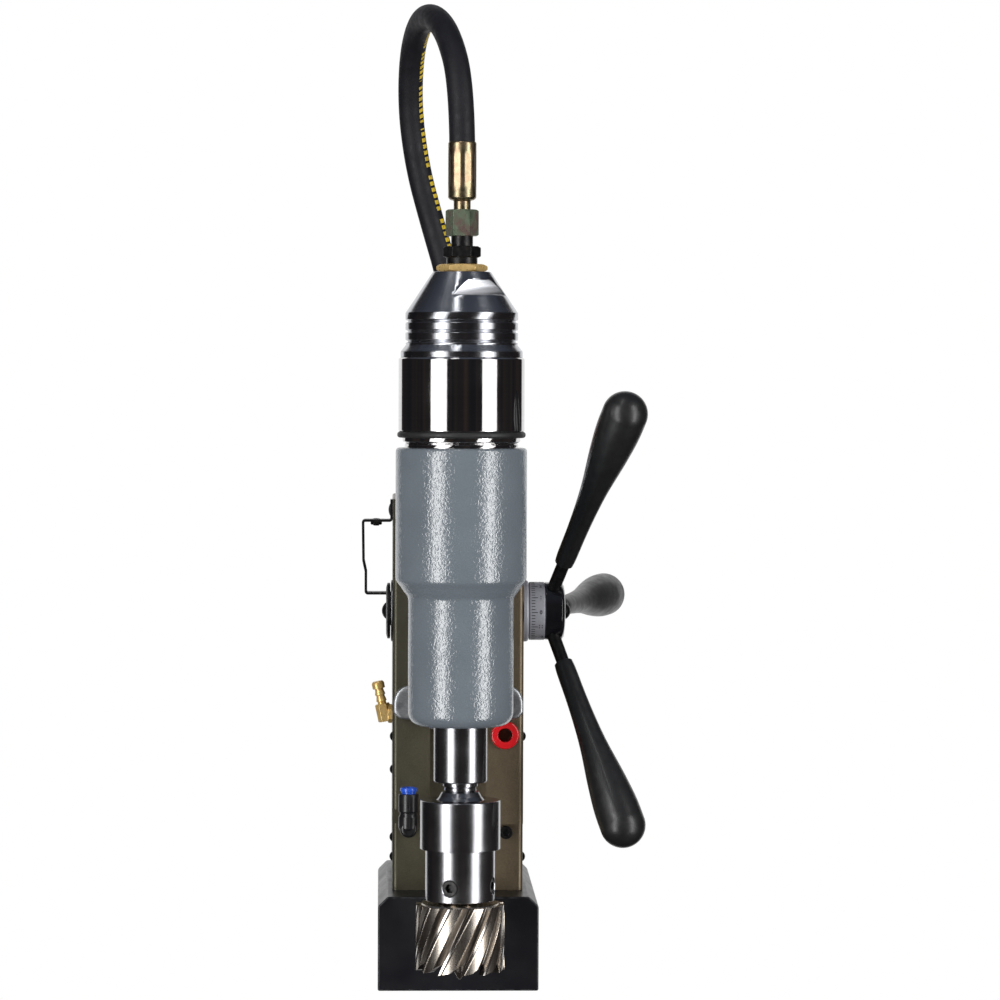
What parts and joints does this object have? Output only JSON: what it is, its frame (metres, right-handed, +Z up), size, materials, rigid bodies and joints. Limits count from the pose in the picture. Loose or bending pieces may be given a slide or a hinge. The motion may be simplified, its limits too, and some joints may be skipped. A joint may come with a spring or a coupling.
{
  "type": "magnetic drill press",
  "caption": "Air-driven magnetic core drill: magnet foot, guide column, sliding motor head, feed handles, annular cutter and a looped air hose.",
  "frame": {"origin": "centre of the magnet's holding face", "axes": "+Z up along the spindle, -Y towards the spindle, +X towards the feed handles"},
  "size_m": [0.1495, 0.2504, 0.5228],
  "materials": {
    "magnet_black": "satin black paint",
    "pole_steel": "ground",
    "frame_paint": "dark olive-brown metallic paint",
    "hammertone": "glossy grey hammertone paint",
    "ground_steel": "finely ground",
    "plate_steel": "machined",
    "bearing_steel": "ground",
    "tool_steel": "ground tool steel",
    "spring_steel": "drawn wire",
    "chrome": "polished",
    "turned_alloy": "turned",
    "scale_metal": "satin, with dark graduations",
    "black_steel": "black oxide",
    "black_gloss": "glossy black",
    "magnet_metal": "plated",
    "brass": "turned",
    "bronze": "turned",
    "yellow_zinc": "yellow zinc plate",
    "olive_zinc": "olive zinc plate",
    "rubber": "matte",
    "hose_rubber": "matte black cover with a yellow dashed line",
    "grip_plastic": "satin black moulding",
    "black_plastic": "moulded",
    "red_plastic": "glossy red",
    "blue_plastic": "glossy blue",
    "vane_fibre": "resin-bonded fibre"
  },
  "bodies": {
    "base": {"magnet_housing": "magnet_black", "pole_plates": "pole_steel", "base_block": "frame_paint", "guide_column": "frame_paint", "frame_housing": "frame_paint", "rear_cover": "frame_paint", "frame_screws": "black_steel", "side_screws": "black_steel", "red_port_ring": "red_plastic", "elbow_body": "black_plastic", "coolant_fitting": "brass", "bottle_bracket": "black_steel", "bracket_screws": "black_steel", "feed_bushes": "bronze", "feed_flanges": "plate_steel", "valve_block": "turned_alloy", "valve_nipple": "black_steel", "rear_ferrule": "yellow_zinc"},
    "magnet": {"magnet_pack": "magnet_metal", "magnet_springs": "spring_steel"},
    "collet": {"release_collet": "blue_plastic"},
    "head": {"gearbox_casting": "hammertone", "dovetail_bar": "plate_steel", "slide_screws": "black_steel", "feed_rack": "plate_steel", "oil_seal": "rubber", "spindle_bearings": "bearing_steel", "ring_gear": "bearing_steel", "rotor_end_plates": "bearing_steel", "rotor_bearings": "bearing_steel", "motor_liner": "bearing_steel", "motor_cylinder": "chrome", "o_ring": "rubber", "clamp_ring": "turned_alloy", "end_cap": "turned_alloy", "cap_nut": "brass", "hose_adapter": "black_steel", "swivel_nut": "olive_zinc", "hose_ferrule": "yellow_zinc", "air_hose": "hose_rubber"},
    "spindle": {"spindle": "ground_steel", "planet_pins": "bearing_steel", "arbor": "ground_steel", "set_screws": "black_steel", "cutter": "tool_steel"},
    "pilot": {"pilot_pin": "tool_steel", "pilot_spring": "spring_steel"},
    "rotor": {"rotor": "bearing_steel", "rotor_vanes": "vane_fibre"},
    "planet_a": {"planet_1": "bearing_steel"},
    "planet_b": {"planet_2": "bearing_steel"},
    "planet_c": {"planet_3": "bearing_steel"},
    "feed": {"pinion_shaft": "plate_steel", "end_disc": "black_steel", "shaft_bolts": "black_steel", "feed_hub": "black_gloss", "scale_ring": "scale_metal", "handle_rods": "black_steel", "handle_grips": "grip_plastic"},
    "lever": {"valve_lever": "red_plastic"}
  },
  "joints": [
    {"name": "head_slide", "type": "slide", "parent": "base", "child": "head", "axis": [0, 0, 1], "range_m": [-0.05, 0.05], "deforming": ["air_hose"]},
    {"name": "feed_turn", "type": "hinge", "parent": "base", "child": "feed", "pos_m": [0, -0.04, 0.1993], "axis": [1, 0, 0], "range_deg": [-273, 273]},
    {"name": "spindle_turn", "type": "hinge", "parent": "head", "child": "spindle", "pos_m": [0, -0.12, 0.1], "axis": [0, 0, 1], "continuous": true},
    {"name": "rotor_turn", "type": "hinge", "parent": "head", "child": "rotor", "pos_m": [0, -0.12, 0.29], "axis": [0, 0, 1], "continuous": true},
    {"name": "pilot_press", "type": "slide", "parent": "spindle", "child": "pilot", "axis": [0, 0, 1], "range_m": [0, 0.022], "stiffness_N_per_m": 400, "springref_m": -0.004, "deforming": ["pilot_spring"]},
    {"name": "magnet_lift", "type": "slide", "parent": "base", "child": "magnet", "axis": [0, 0, 1], "range_m": [0, 0.008], "stiffness_N_per_m": 2500, "springref_m": -0.008, "deforming": ["magnet_springs"]},
    {"name": "collet_press", "type": "slide", "parent": "base", "child": "collet", "axis": [0, 0, -1], "range_m": [0, 0.001], "stiffness_N_per_m": 150, "springref_m": -0.002},
    {"name": "lever_turn", "type": "hinge", "parent": "base", "child": "lever", "pos_m": [0, 0.028, 0.273], "axis": [0, 1, 0], "range_deg": [0, 90]},
    {"name": "planet_a_turn", "type": "hinge", "parent": "spindle", "child": "planet_a", "pos_m": [0, -0.1065, 0.234], "axis": [0, 0, 1], "continuous": true},
    {"name": "planet_b_turn", "type": "hinge", "parent": "spindle", "child": "planet_b", "pos_m": [-0.01169, -0.12675, 0.234], "axis": [0, 0, 1], "continuous": true},
    {"name": "planet_c_turn", "type": "hinge", "parent": "spindle", "child": "planet_c", "pos_m": [0.01169, -0.12675, 0.234], "axis": [0, 0, 1], "continuous": true}
  ],
  "couplings": [
    {"joint": "feed_turn", "follows": "head_slide", "rad_per_m": -95.238},
    {"joint": "rotor_turn", "follows": "spindle_turn", "ratio": 4.5},
    {"joint": "planet_a_turn", "follows": "spindle_turn", "ratio": -2.8},
    {"joint": "planet_b_turn", "follows": "spindle_turn", "ratio": -2.8},
    {"joint": "planet_c_turn", "follows": "spindle_turn", "ratio": -2.8}
  ]
}
